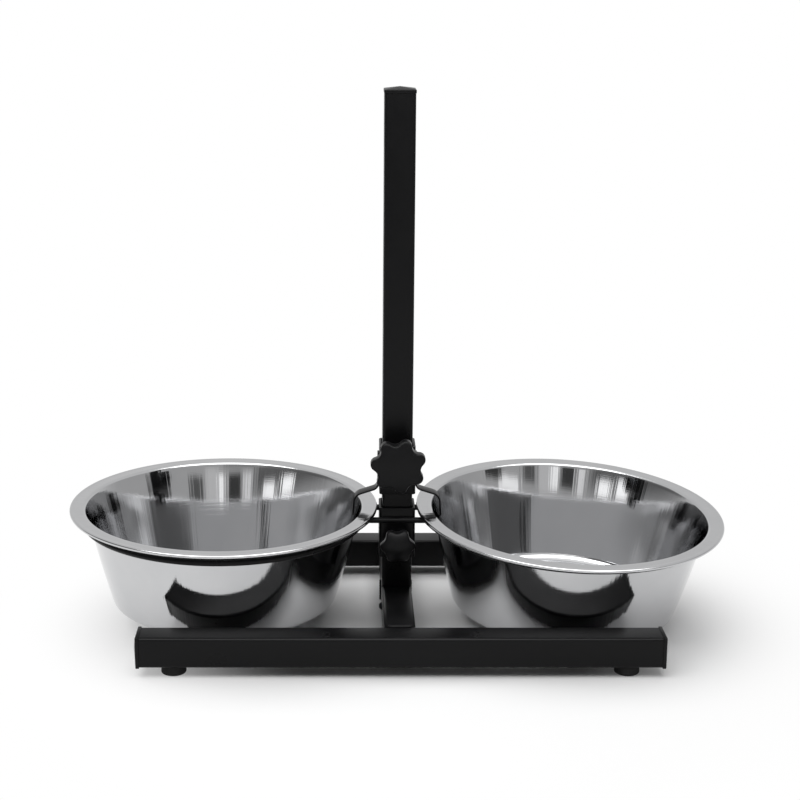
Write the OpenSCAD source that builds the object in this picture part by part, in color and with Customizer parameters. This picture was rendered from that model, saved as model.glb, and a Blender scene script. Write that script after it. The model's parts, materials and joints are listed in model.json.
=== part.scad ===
// Dog feeder stand: an H-shaped base and a square post of steel tube, with a
// sliding carrier whose two wire hoops hold steel bowls under a pair of hooks.

/* [Tube] */
// Outside width of the square tube of the base and the post
tube_w = 25; // [20:0.5:30]
// Wall of the square tube
tube_wall = 1.5; // [1:0.1:2]
// Outside corner radius of the square tube
tube_corner = 2.5; // [2.1:0.1:4]

/* [Base] */
// Length of the tube of the front and rear bars
bar_len = 410; // [360:1:460]
// Room between a bowl's wall and a bar, level with the top of the bar
bar_gap = 0.8; // [0.6:0.1:12]
// Distance from the end of a bar's tube to the middle of its foot
foot_inset = 26; // [20:1:60]
// Diameter of a foot
foot_d = 20; // [16:0.5:24]
// Height of a foot
foot_h = 8; // [6:0.5:14]
// Rounding of a foot's lower edge
foot_round = 1.5; // [0.5:0.1:3]
// Thread diameter of a foot screw
foot_screw_d = 4; // [3:0.5:5]
// Length of a foot screw above the tube's lower face
foot_screw_reach = 5; // [3:0.5:12]
// Length of the stub that the front arm slips over
stub_len = 48; // [30:1:70]
// Thread diameter of the arm bolt
arm_bolt_d = 4; // [4:0.5:6]
// Distance from the face of the post to the arm bolt
arm_bolt_offset = 14; // [10:0.5:25]

/* [Post] */
// Length of the post's tube
post_len = 436; // [400:1:500]

/* [End caps] */
// Thickness of a cap's rim
cap_rim = 2.8; // [2:0.1:4]
// Height of a cap's low pyramid
cap_peak = 2.2; // [1:0.1:4]
// How far a cap's rim stands proud of the tube
cap_proud = 0.3; // [0:0.05:0.4]
// Depth of a cap's plug in the tube
cap_plug = 14; // [8:1:20]
// Wall of a cap's plug
cap_wall = 2; // [1.2:0.1:3]

/* [Bowls] */
// Outside diameter of a bowl's rim
rim_d = 258; // [230:1:270]
// Width of the flat rim, from the bowl's mouth to its outer edge
rim_w = 12.7; // [10:0.1:16]
// Thickness of the rolled bead along the rim's outer edge
bead_d = 3; // [2:0.1:4]
// How far the bead stands proud of the flat rim
bead_proud = 0.2; // [0.1:0.05:0.5]
// Height of a bowl
bowl_h = 85; // [70:1:95]
// Thickness of the bowl's sheet
sheet = 0.8; // [0.6:0.05:1.2]
// Slope of the bowl's wall from upright, in degrees
wall_slope = 15.4; // [12:0.1:20]
// Rounding where the wall meets the floor of the bowl
floor_round = 9; // [6:0.5:16]
// Rounding where the wall meets the rim
rim_round = 2.5; // [1.5:0.1:4]
// Room under the lowest point of the bowls
floor_gap = 5.1; // [4:0.1:20]

/* [Carrier] */
// Wall of the two sliding sleeves
sleeve_wall = 2; // [1.5:0.1:3]
// Outside corner radius of the two sliding sleeves
sleeve_corner = 3; // [2:0.1:4]
// Height of the carrier's sleeve
carrier_h = 43; // [36:0.5:50]
// Diameter of the wire of the hoops and cross rods
wire_d = 5; // [4:0.25:6]
// Depth of a hoop below the top of the bowl's rim
hoop_drop = 10; // [8:0.5:16]
// Distance from the top of the carrier's sleeve to the cross rods
rod_drop = 9.5; // [4:0.5:12]
// Height of the cross rods above the middle of the hoops
rod_rise = 1.5; // [0:0.1:2]
// Room between a bowl's rim and the sleeve
rim_gap = 1.5; // [1:0.1:4]
// How far the left hoop droops outwards, in degrees
left_droop = -0.4; // [-1:0.1:3.5]
// How far the right hoop droops outwards, in degrees
right_droop = 2.3; // [-1:0.1:3.5]
// How far both hoops tip forwards, in degrees
hoop_tip = 0.8; // [0:0.1:2]
// How far the right bowl tips forwards in its hoop, in degrees
right_tip = 2.5; // [0:0.1:3]
// Height of the carrier's knob above the bottom of its sleeve
carrier_knob_rise = 16; // [14:0.5:18]

/* [Hook clamp] */
// Height of the hook clamp's sleeve
clamp_h = 41; // [36:0.5:48]
// Distance from the top of the rims up to the hook clamp's sleeve
clamp_rise = 13; // [9:0.5:20]
// Height of the clamp's knob above the bottom of its sleeve
clamp_knob_rise = 31; // [22:0.5:32]
// Width of a hook's strip
hook_w = 12; // [8:0.5:16]
// Thickness of a hook's strip
hook_t = 1.5; // [1:0.1:2]
// Height above the bottom of the sleeve where a hook leaves it
hook_leave = 7; // [6:0.5:12]
// Length of a hook's tab along the sleeve
hook_tab = 26; // [20:0.5:28]
// How far a hook turns outwards at its first bend, in degrees
hook_turn = 72; // [60:1:80]
// Middle radius of a hook's first bend
hook_r1 = 6; // [4:0.5:8]
// Middle radius of a hook's second bend
hook_r2 = 8; // [5:0.5:9]
// How far inside the bowl's mouth a hook's tail hangs
hook_inset = 6.8; // [6:0.1:9]
// How far a hook's tail reaches below the top of the rim
hook_reach = 9; // [6:0.5:12]
// Lean of a hook's tail from upright, in degrees
hook_lean = 4; // [2:0.5:8]

/* [Clamp screws] */
// Thread diameter of the two clamp screws
stud_d = 8; // [6:1:10]
// Width across the flats of the weld nuts
nut_af = 13; // [12:0.5:15]
// Height of the weld nuts
nut_h = 6.5; // [5:0.5:8]
// Room between a weld nut and its knob
knob_gap = 2; // [1:0.25:6]
// Diameter of a knob's hub
hub_d = 16; // [14:0.5:18]
// Depth of the stud's hole beyond the hub of a knob
stud_hold = 7; // [4:0.5:8]

/* [Carrier knob] */
// Diameter of the carrier's knob over its lobes
small_knob_d = 29; // [27:0.5:30]
// Thickness of the carrier's knob at its middle
small_knob_t = 12; // [11:0.5:16]
// Length of the hub behind the carrier's knob
small_hub_l = 5; // [3:0.5:8]
// Number of lobes on the carrier's knob
small_lobes = 6; // [5:1:8]
// Radius of a lobe of the carrier's knob
small_lobe_r = 4; // [3:0.1:4.4]
// Depth of the hollows between the lobes of the carrier's knob
small_hollow = 2.6; // [2:0.1:3]
// Turn of the carrier's knob at rest, clockwise from a lobe at the top, in degrees
small_turn = 28; // [0:1:60]
// Radius of the dome on the carrier's knob
small_dome_r = 21; // [18:0.5:60]

/* [Hook clamp knob] */
// Diameter of the clamp's knob over its lobes
big_knob_d = 46; // [40:0.5:50]
// Thickness of the clamp's knob at its middle
big_knob_t = 13; // [11:0.5:18]
// Length of the hub behind the clamp's knob
big_hub_l = 8; // [5:0.5:12]
// Number of lobes on the clamp's knob
big_lobes = 7; // [5:1:8]
// Radius of a lobe of the clamp's knob
big_lobe_r = 5; // [3.6:0.1:5.4]
// Depth of the hollows between the lobes of the clamp's knob
big_hollow = 4.8; // [4:0.1:6.5]
// Turn of the clamp's knob at rest, clockwise from a lobe at the top, in degrees
big_turn = 19; // [0:1:50]
// Radius of the dome on the clamp's knob
big_dome_r = 70; // [40:1:200]

/* [Clearances] */
// Room on each side between the post and a sleeve
slide_gap = 0.5; // [0.3:0.05:1]
// Room on each side between a stub and its arm, or a cap's plug and its tube
slip_gap = 0.2; // [0.1:0.05:0.4]
// Room around a bolt in its holes
bolt_gap = 0.2; // [0.1:0.05:0.4]
// Room around a thread in its nut, or a stud in its knob
thread_gap = 0.05; // [0.02:0.01:0.1]
// Room between a bowl and its hoop
seat_gap = 0.3; // [0.2:0.05:0.5]
// Room between the tip of a clamp screw or the arm bolt and the wall ahead of it
tip_gap = 0.1; // [0.05:0.05:0.3]
// Room around the head of a foot screw in its recess
head_gap = 0.5; // [0.3:0.05:1]

/* [Hidden] */
$fn = 96;

// Sides and ends: front and left are negative, rear and right positive
front = -1;
rear = 1;
left = -1;
right = 1;

// Overshoot of a cut past the face that it leaves
cut = 1;
// Steps along a bend of a strip
bend_steps = 10;
// How far a hollow of a knob bites into the lobes beside it
hollow_bite = 0.08;
// Angle between the bowl's floor and its wall
wall_turn = 90 - wall_slope;
// Radius of the bowl's mouth, where the lines of its wall and rim cross
mouth_r = rim_d / 2 - rim_w;
// Both roundings of the bowl's profile, which turn by the same angle
bowl_bends = floor_round + rim_round;
// Straight length of the bowl's wall
wall_len = (bowl_h - sheet - bowl_bends * (1 - cos(wall_turn))) / sin(wall_turn);
// Straight width of the rim, from its rounding to the middle of the bead
rim_flat = rim_w - rim_round * tan(wall_turn / 2) - bead_d / 2;
// Radius of the flat floor of the bowl
bowl_floor_r =
    rim_d / 2 - bead_d / 2 - rim_flat - bowl_bends * sin(wall_turn) - wall_len * cos(wall_turn);
// Radius of the bowl's outline at its foot
bowl_foot_r = bowl_floor_r + floor_round * sin(wall_turn);
// Middle radius of a hoop, which lies against the bowl's wall
hoop_r = wall_mid_r(hoop_drop) + (sheet / 2 + wire_d / 2 + seat_gap) / cos(wall_slope);

// Sleeves, which take their bore from the post
sleeve_in = tube_w + 2 * slide_gap;
sleeve_w = sleeve_in + 2 * sleeve_wall;
// Distance from the post's axis to the inner edge of a rim, where a hoop's tilt starts
rim_x = sleeve_w / 2 + rim_gap;

// Heights, from the floor up
base_z = foot_h + tube_w / 2;
bar_top = foot_h + tube_w;
rim_z = floor_gap + max(bowl_depth(left_droop, hoop_tip), bowl_depth(right_droop, hoop_tip + right_tip));
hoop_z = rim_z - hoop_drop;
rod_z = hoop_z + rod_rise;
carrier_z = rod_z + rod_drop - carrier_h;
clamp_z = rim_z + clamp_rise;
carrier_knob_z = carrier_z + carrier_knob_rise;
clamp_knob_z = clamp_z + clamp_knob_rise;

// Base, whose bars stand clear of the bowls
bar_y = max(bowl_side(left_droop, hoop_tip), bowl_side(right_droop, hoop_tip + right_tip))
    + bar_gap + tube_w / 2;
arm_len = bar_y - tube_w;
foot_x = bar_len / 2 - foot_inset;
stub_w = tube_w - 2 * tube_wall - 2 * slip_gap;
plug_w = stub_w;

// Heads and nuts of the small fasteners, in the usual shares of their threads
foot_hole_d = foot_screw_d + 2 * bolt_gap;
foot_head_d = 2 * foot_screw_d;
foot_head_h = 0.6 * foot_screw_d;
foot_recess_d = foot_head_d + 2 * head_gap;
foot_recess = foot_h / 2;
arm_hole_d = arm_bolt_d + 2 * bolt_gap;
arm_head_d = 1.6 * arm_bolt_d;
arm_head_h = 0.7 * arm_bolt_d;
arm_head_edge = 0.2 * arm_bolt_d;
arm_nut_af = 1.6 * arm_bolt_d;
arm_nut_h = 0.8 * arm_bolt_d;
arm_bolt_y = tube_w / 2 + arm_bolt_offset;
// Inside face of the stub's wall, where the arm nut is welded
arm_nut_x = stub_w / 2 - tube_wall;

// Cross rods, which lie on the sleeve and end in the hoops
rod_y = sleeve_w / 2 + wire_d / 2;
rod_bite = 0.3 * wire_d;
rod_half = rim_x + rim_d / 2 - sqrt(pow(hoop_r, 2) - pow(rod_y, 2)) - rod_bite;

// Hooks, whose tails hang just inside the mouths of the bowls
hook_back = hook_turn - hook_lean;
hook_x = sleeve_w / 2 + hook_t / 2;
hook_tail_x = rim_x + rim_w + hook_inset;
hook_bends_x = hook_r1 * (1 - cos(hook_turn)) + hook_r2 * (cos(hook_lean) - cos(hook_turn));
hook_bends_z = hook_r1 * sin(hook_turn) + hook_r2 * (sin(hook_turn) - sin(hook_lean));
hook_run = (hook_tail_x - hook_x - hook_bends_x) / sin(hook_turn);
hook_top = clamp_z + hook_leave + hook_tab;
hook_tail_top = clamp_z + hook_leave - hook_bends_z - hook_run * cos(hook_turn);
hook_tail = (hook_tail_top - rim_z + hook_reach) / cos(hook_lean);

// Clamp screws, measured forwards from the post's axis
stud_start = tube_w / 2 + tip_gap;
nut_face = sleeve_w / 2 + nut_h;
hub_start = nut_face + knob_gap;

coat = "#1d1d1f";
plastic = "#161617";
rubber = "#131313";
zinc = "#8f9296";
steel = "#c9ccd0";

// Middle radius of the bowl's wall at a depth below the top of its rim
function wall_mid_r(depth) = mouth_r - (depth - sheet / 2) * tan(wall_slope);

// Droop of the hoop on one side, and how far its bowl tips in it
function droop_of(end) = end == left ? left_droop : right_droop;
function tip_of(end) = end == left ? 0 : right_tip;

// How far forwards a hoop sits from a bowl that tips in it, to stay against the wall
function hoop_shift(tip) = wall_mid_r(hoop_drop) * tan(tip) * tan(wall_slope) - hoop_drop * sin(tip);

// Depth of a tilted bowl's lowest point below the inner edge of its rim
function bowl_depth(droop, tip) =
    rim_d / 2 * sin(droop) + bowl_h * cos(tip) * cos(droop)
    + bowl_foot_r * sqrt(pow(sin(droop), 2) + pow(sin(tip) * cos(droop), 2));

// Reach of a tilted bowl to front or rear, level with the tops of the bars
function bowl_side(droop, tip) =
    let (depth = rim_z - rim_d / 2 * sin(droop) - bar_top)
    (wall_mid_r(depth) + sheet / 2 / cos(wall_slope)) / cos(tip) + depth * sin(tip);

// Directions along a heading and to the left of it
function ahead(heading) = [cos(heading), sin(heading)];
function to_left(heading) = [-sin(heading), cos(heading)];

// Middle line of a strip, as places with their headings
function strip_line(moves, start, heading) =
    concat([[start, heading]], strip_moves(moves, start, heading, 0));

function strip_moves(moves, start, heading, i) =
    i == len(moves) ? [] :
    let (
        turn = moves[i][1],
        r = sign(turn) * moves[i][2],
        end = start + moves[i][0] * ahead(heading),
        middle = end + r * to_left(heading),
        last = heading + turn
    )
    concat(
        turn == 0 ? [[end, heading]] : [
            for (k = [0 : bend_steps])
                let (h = heading + turn * k / bend_steps) [middle - r * to_left(h), h]
        ],
        strip_moves(moves, middle - r * to_left(last), last, i + 1)
    );

// Radius of the hollow that just bites into the two lobes beside it
function hollow_r(lobe_x, lobe_r, valley_r, lobes) =
    let (c = cos(180 / lobes), reach = lobe_r - hollow_bite)
    (pow(lobe_x, 2) + pow(valley_r, 2) - 2 * c * lobe_x * valley_r - pow(reach, 2))
    / (2 * (reach + c * lobe_x - valley_r));

module rounded_square(w, r) {
    square([w - 2 * r, w], center = true);
    square([w, w - 2 * r], center = true);
    for (x = [-1, 1], y = [-1, 1])
        translate([x, y] * (w / 2 - r)) circle(r = r);
}

module square_tube(length, w, wall, corner) {
    linear_extrude(length) difference() {
        rounded_square(w, corner);
        rounded_square(w - 2 * wall, max(corner - wall, wall / 4));
    }
}

// A strip of one thickness, from moves of [straight length, turn, radius of the turn]
module strip(moves, start, heading, t) {
    line = strip_line(moves, start, heading);
    out = [for (k = [0 : len(line) - 1]) line[k][0] - t / 2 * to_left(line[k][1])];
    back = [for (k = [len(line) - 1 : -1 : 0]) line[k][0] + t / 2 * to_left(line[k][1])];
    polygon(concat(out, back));
}

module bar(side) {
    color(coat) difference() {
        translate([-bar_len / 2, side * bar_y, base_z]) rotate([0, 90, 0])
            square_tube(bar_len, tube_w, tube_wall, tube_corner);
        for (end = [left, right])
            translate([end * foot_x, side * bar_y, foot_h - cut])
                cylinder(d = foot_hole_d, h = tube_wall + 2 * cut);
    }
}

// From the left face of the front arm inwards, with +Z along the arm bolt
module bolt_place() {
    translate([-tube_w / 2, -arm_bolt_y, base_z]) rotate([0, 90, 0]) children();
}

module arm_hole() {
    bolt_place() translate([0, 0, -cut]) cylinder(d = arm_hole_d, h = tube_w / 2 + cut);
}

module from_post(side) {
    translate([0, side * tube_w / 2, base_z]) rotate([-side * 90, 0, 0]) children();
}

module arm(side) {
    color(coat) difference() {
        from_post(side) square_tube(arm_len, tube_w, tube_wall, tube_corner);
        if (side == front) arm_hole();
    }
}

module arm_stub() {
    color(coat) difference() {
        from_post(front) square_tube(stub_len, stub_w, tube_wall, tube_corner - tube_wall / 2);
        arm_hole();
    }
}

module post_tube() {
    color(coat) translate([0, 0, foot_h]) square_tube(post_len, tube_w, tube_wall, tube_corner);
}

module arm_bolt() {
    dome = arm_head_h - arm_head_edge;
    dome_r = (pow(arm_head_d / 2, 2) + pow(dome, 2)) / (2 * dome);
    color(plastic) bolt_place() {
        cylinder(d = arm_bolt_d, h = tube_w / 2 + arm_nut_x - tip_gap);
        intersection() {
            translate([0, 0, -arm_head_h]) cylinder(d = arm_head_d, h = arm_head_h);
            translate([0, 0, dome_r - arm_head_h]) rotate([90, 0, 0]) sphere(r = dome_r);
        }
    }
}

module hex_nut(af, h, thread_d) {
    difference() {
        cylinder(d = af / cos(30), h = h, $fn = 6);
        translate([0, 0, -cut]) cylinder(d = thread_d + 2 * thread_gap, h = h + 2 * cut);
    }
}

module arm_nut() {
    color(zinc) bolt_place() translate([0, 0, tube_w / 2 + arm_nut_x - arm_nut_h])
        hex_nut(arm_nut_af, arm_nut_h, arm_bolt_d);
}

// A low pyramid from two crossed roofs
module low_pyramid(w, h) {
    module roof() {
        rotate([90, 0, 0]) linear_extrude(w, center = true)
            polygon([[-w / 2, 0], [w / 2, 0], [0, h]]);
    }
    intersection() {
        roof();
        rotate(90) roof();
    }
}

// An end cap: the tube ends at the origin and the pyramid points along +Z
module end_cap() {
    rim = tube_w + 2 * cap_proud;
    linear_extrude(cap_rim) square(rim, center = true);
    translate([0, 0, cap_rim]) low_pyramid(rim, cap_peak);
    translate([0, 0, -cap_plug]) linear_extrude(cap_plug) difference() {
        rounded_square(plug_w, tube_corner - tube_wall / 2);
        square(plug_w - 2 * cap_wall, center = true);
    }
}

module bar_cap(side, end) {
    color(plastic) translate([end * bar_len / 2, side * bar_y, base_z])
        rotate([0, end * 90, 0]) end_cap();
}

module post_cap() {
    color(plastic) translate([0, 0, foot_h + post_len]) end_cap();
}

module foot(side, end) {
    r = foot_d / 2;
    color(rubber) translate([end * foot_x, side * bar_y, 0]) rotate_extrude() difference() {
        union() {
            square([r - foot_round, foot_h]);
            translate([0, foot_round]) square([r, foot_h - foot_round]);
            translate([r - foot_round, foot_round]) circle(r = foot_round);
        }
        square([foot_hole_d / 2, foot_h]);
        square([foot_recess_d / 2, foot_recess]);
    }
}

module foot_screws() {
    shank = foot_h - foot_recess + foot_screw_reach;
    color(zinc) for (side = [front, rear], end = [left, right])
        translate([end * foot_x, side * bar_y, foot_recess]) {
            cylinder(d = foot_screw_d, h = shank);
            translate([0, 0, -foot_head_h]) cylinder(d = foot_head_d, h = foot_head_h);
        }
}

// The place of one hoop and its bowl: level with the top middle of the rim
module bowl_place(end) {
    translate([end * rim_x, 0, rim_z]) rotate([hoop_tip, end * droop_of(end), 0])
        translate([end * rim_d / 2, 0, 0]) children();
}

module bowl_profile() {
    moves = [[bowl_floor_r, wall_turn, floor_round], [wall_len, -wall_turn, rim_round], [rim_flat, 0, 0]];
    strip(moves, [0, sheet / 2 - bowl_h], 0, sheet);
    translate([(rim_d - bead_d) / 2, bead_proud - bead_d / 2]) circle(d = bead_d);
}

module bowl(end) {
    color(steel) bowl_place(end) rotate([tip_of(end), 0, 0]) rotate_extrude() bowl_profile();
}

module hoop_ring(end) {
    bowl_place(end) translate([0, -hoop_shift(tip_of(end)), -hoop_drop]) rotate_extrude()
        translate([hoop_r, 0]) circle(d = wire_d);
}

module hoop(end) {
    color(coat) hoop_ring(end);
}

module cross_rod(side) {
    color(coat) difference() {
        translate([-rod_half, side * rod_y, rod_z]) rotate([0, 90, 0])
            cylinder(d = wire_d, h = 2 * rod_half);
        for (end = [left, right]) hoop_ring(end);
    }
}

// Forwards from the post's axis at one height, with +Z along the clamp screw
module screw_place(height, start) {
    translate([0, -start, height]) rotate([90, 0, 0]) children();
}

module sleeve(bottom, h, knob_z) {
    color(coat) difference() {
        translate([0, 0, bottom]) square_tube(h, sleeve_w, sleeve_wall, sleeve_corner);
        screw_place(knob_z, sleeve_in / 2 - cut)
            cylinder(d = stud_d + 2 * thread_gap, h = sleeve_wall + 2 * cut);
    }
}

module weld_nut(knob_z) {
    color(zinc) screw_place(knob_z, sleeve_w / 2) hex_nut(nut_af, nut_h, stud_d);
}

module stud(knob_z, hub_l) {
    color(zinc) screw_place(knob_z, stud_start)
        cylinder(d = stud_d, h = hub_start - stud_start + hub_l + stud_hold - tip_gap);
}

// The outline of a star knob: round lobes with hollows between them
module star(d, lobes, lobe_r, hollow) {
    lobe_x = d / 2 - lobe_r;
    valley_r = d / 2 - hollow;
    dip_r = hollow_r(lobe_x, lobe_r, valley_r, lobes);
    dip = (valley_r + dip_r) * ahead(180 / lobes);
    middle = [lobe_x, 0];
    difference() {
        union() {
            circle(r = norm(middle + lobe_r * (dip - middle) / norm(dip - middle)));
            for (i = [0 : lobes - 1])
                rotate(i * 360 / lobes) translate(middle) circle(r = lobe_r);
        }
        for (i = [0 : lobes - 1])
            rotate(i * 360 / lobes) translate(dip) circle(r = dip_r);
    }
}

// A star knob from its hub forwards, whose child is its outline
module star_knob(knob_z, turn, t, hub_l, dome_r) {
    color(plastic) screw_place(knob_z, hub_start) difference() {
        union() {
            cylinder(d = hub_d, h = hub_l);
            translate([0, 0, hub_l]) intersection() {
                linear_extrude(t) rotate(90 - turn) children();
                translate([0, 0, t - dome_r]) rotate([90, 0, 0]) sphere(r = dome_r);
            }
        }
        translate([0, 0, -cut]) cylinder(d = stud_d + 2 * thread_gap, h = hub_l + stud_hold + cut);
    }
}

module hook_outline() {
    moves = [[hook_tab, hook_turn, hook_r1], [hook_run, -hook_back, hook_r2], [hook_tail, 0, 0]];
    strip(moves, [hook_x, hook_top], -90, hook_t);
}

module hook(end) {
    color(coat) mirror([end == left ? 1 : 0, 0, 0]) rotate([90, 0, 0])
        linear_extrude(hook_w, center = true) hook_outline();
}

module carrier_knob() {
    star_knob(carrier_knob_z, small_turn, small_knob_t, small_hub_l, small_dome_r)
        star(small_knob_d, small_lobes, small_lobe_r, small_hollow);
}

module hook_knob() {
    star_knob(clamp_knob_z, big_turn, big_knob_t, big_hub_l, big_dome_r)
        star(big_knob_d, big_lobes, big_lobe_r, big_hollow);
}

bar(front);  // front_bar
bar(rear);  // rear_bar
arm(front);  // front_arm
arm(rear);  // rear_arm
post_tube();
arm_stub();
arm_bolt();
arm_nut();
post_cap();
bar_cap(front, left);  // front_left_cap
bar_cap(front, right);  // front_right_cap
bar_cap(rear, left);  // rear_left_cap
bar_cap(rear, right);  // rear_right_cap
foot(front, left);  // front_left_foot
foot(front, right);  // front_right_foot
foot(rear, left);  // rear_left_foot
foot(rear, right);  // rear_right_foot
foot_screws();
sleeve(carrier_z, carrier_h, carrier_knob_z);  // carrier_sleeve
weld_nut(carrier_knob_z);  // carrier_nut
hoop(left);  // left_hoop
hoop(right);  // right_hoop
cross_rod(front);  // front_cross_rod
cross_rod(rear);  // rear_cross_rod
stud(carrier_knob_z, small_hub_l);  // carrier_stud
carrier_knob();
sleeve(clamp_z, clamp_h, clamp_knob_z);  // hook_sleeve
weld_nut(clamp_knob_z);  // hook_nut
hook(left);  // left_hook
hook(right);  // right_hook
stud(clamp_knob_z, big_hub_l);  // hook_stud
hook_knob();
bowl(left);  // left_bowl
bowl(right);  // right_bowl
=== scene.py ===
import bpy
import bmesh
import json
import math
from mathutils import Euler, Matrix, Vector


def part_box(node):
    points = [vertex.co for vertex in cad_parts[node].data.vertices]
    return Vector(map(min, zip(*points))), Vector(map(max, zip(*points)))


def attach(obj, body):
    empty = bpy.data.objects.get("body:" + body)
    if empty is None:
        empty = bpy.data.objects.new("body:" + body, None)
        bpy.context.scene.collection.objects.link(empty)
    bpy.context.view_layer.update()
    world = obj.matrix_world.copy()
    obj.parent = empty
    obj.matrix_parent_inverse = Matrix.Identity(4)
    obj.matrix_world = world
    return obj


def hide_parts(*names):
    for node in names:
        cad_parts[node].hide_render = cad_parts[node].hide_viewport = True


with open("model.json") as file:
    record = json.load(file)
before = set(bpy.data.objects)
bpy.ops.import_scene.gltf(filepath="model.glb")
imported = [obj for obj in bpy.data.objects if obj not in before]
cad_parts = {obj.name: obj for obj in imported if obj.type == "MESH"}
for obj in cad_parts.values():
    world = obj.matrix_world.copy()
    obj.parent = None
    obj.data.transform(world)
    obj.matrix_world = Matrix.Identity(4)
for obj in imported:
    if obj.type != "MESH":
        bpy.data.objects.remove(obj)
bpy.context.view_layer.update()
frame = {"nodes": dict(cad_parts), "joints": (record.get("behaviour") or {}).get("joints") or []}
nodes = frame["nodes"]
hingeAt = {j["name"]: Vector(j["pos_m"]) for j in frame["joints"] if j["type"] == "hinge"}
mm = 0.001
print("frame loaded:", len(nodes), "nodes")


# Camera, floor and light

view = {
    "place": (-0.045, -1.3535, 0.536),
    "pitchDown": 14.252,
    "lens": 75.7,
    "sensor": 36.0,
    "shiftX": 0.0708,
}
studio = {
    "floorSize": 9.0,
    "floorMiddle": (0.03, -0.02, 0.0),
    "floorColour": "#fafafa",
    "shadowReach": (0.14, 0.385),  # the floor keeps its own shading this near, and is plain white beyond
    "softbox": {"place": (-0.35, -0.05, 1.8), "aim": (0, 0, 0.1), "size": 2.6, "watts": 51},
    "fill": 0.17,  # even light from all round
    "wall": 0.5,
    "ceiling": 0.77,
    "ceilingFrom": (19, 32),  # degrees up, where the wall turns into the ceiling
    "patches": [  # what the steel shows of the room: degrees round from the camera, degrees up, soft edge, grey
        (120, 240, -20, 34, 40, 0.76), (-240, -120, -20, 34, 40, 0.76),
        (-118, -24, 8, 19, 9, 0.14), (-112, -32, 17, 42, 14, 0.19), (-60, -48.5, 7.4, 12.4, 2.5, 1.65),
        (-42.5, -31.5, 6.8, 11.8, 2.5, 1.55), (-19.5, -13.5, 5.5, 15, 2.5, 1.0), (-11, 1, 6.8, 15, 2.5, 0.06),
        (3.5, 9.5, 5.5, 15, 2.5, 1.4), (9.5, 20, 4, 17, 3, 0.7), (23, 34.5, 6.2, 14, 3, 0.13),
        (38, 57, 2, 6.4, 2.5, 1.3), (54, 69, 4.5, 11, 3, 0.06), (-24, 3, 16.5, 22.5, 3, 0.34),
        (-21, 8, 23.5, 34, 4, 1.4), (8, 36, 23, 32, 4, 0.9), (-190, 190, 62, 110, 12, 1.2),
        (-75, 75, 44, 74, 10, 5.0)],
}


def linear(code):
    # sRGB hex to linear colour
    parts = [int(code[i:i + 2], 16) / 255 for i in (1, 3, 5)]
    return tuple(c / 12.92 if c <= 0.04045 else ((c + 0.055) / 1.055) ** 2.4 for c in parts) + (1.0,)


def addNode(tree, kind, settings=None, inputs=None):
    # one node with its settings; an input is a plain value or another node's socket
    node = tree.nodes.new(kind)
    for key, value in (settings or {}).items():
        setattr(node, key, value)
    for key, value in (inputs or {}).items():
        if isinstance(value, bpy.types.NodeSocket):
            tree.links.new(value, node.inputs[key])
        else:
            node.inputs[key].default_value = value
    return node


def makeCamera():
    data = bpy.data.cameras.new("camera")
    data.lens = view["lens"]
    data.sensor_width = view["sensor"]
    data.shift_x = view["shiftX"]
    camera = bpy.data.objects.new("camera", data)
    camera.location = view["place"]
    camera.rotation_euler = (math.radians(90 - view["pitchDown"]), 0, 0)
    bpy.context.scene.collection.objects.link(camera)
    bpy.context.scene.camera = camera


def makeFloor():
    bpy.ops.object.select_all(action="DESELECT")
    bpy.ops.mesh.primitive_plane_add(size=studio["floorSize"], location=(0, 0, 0))
    floor = bpy.context.object
    floor.name = "floor"
    material = bpy.data.materials.new("paper sweep")
    material.use_nodes = True
    tree = material.node_tree
    tree.nodes.clear()
    coords = addNode(tree, "ShaderNodeTexCoord")
    away = addNode(tree, "ShaderNodeVectorMath", {"operation": "DISTANCE"},
                   {0: coords.outputs["Object"], 1: studio["floorMiddle"]})
    near, far = studio["shadowReach"]
    fade = addNode(tree, "ShaderNodeMapRange", {"interpolation_type": "SMOOTHSTEP"},
                   {"Value": away.outputs["Value"], "From Min": near, "From Max": far})
    path = addNode(tree, "ShaderNodeLightPath")
    shown = addNode(tree, "ShaderNodeMath", {"operation": "MAXIMUM"},
                    {0: path.outputs["Is Camera Ray"], 1: path.outputs["Is Glossy Ray"]})
    share = addNode(tree, "ShaderNodeMath", {"operation": "MULTIPLY"},
                    {0: fade.outputs["Result"], 1: shown.outputs["Value"]})
    paper = addNode(tree, "ShaderNodeBsdfDiffuse", None, {"Color": linear(studio["floorColour"])})
    plain = addNode(tree, "ShaderNodeEmission", None, {"Color": (1, 1, 1, 1), "Strength": 1.0})
    mix = addNode(tree, "ShaderNodeMixShader", None,
                  {0: share.outputs["Value"], 1: paper.outputs["BSDF"], 2: plain.outputs["Emission"]})
    side = addNode(tree, "ShaderNodeNewGeometry")  # from below, the floor lets the view through
    clear = addNode(tree, "ShaderNodeBsdfTransparent")
    oneSided = addNode(tree, "ShaderNodeMixShader", None,
                       {0: side.outputs["Backfacing"], 1: mix.outputs["Shader"], 2: clear.outputs["BSDF"]})
    addNode(tree, "ShaderNodeOutputMaterial", None, {"Surface": oneSided.outputs["Shader"]})
    floor.data.materials.append(material)


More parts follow.
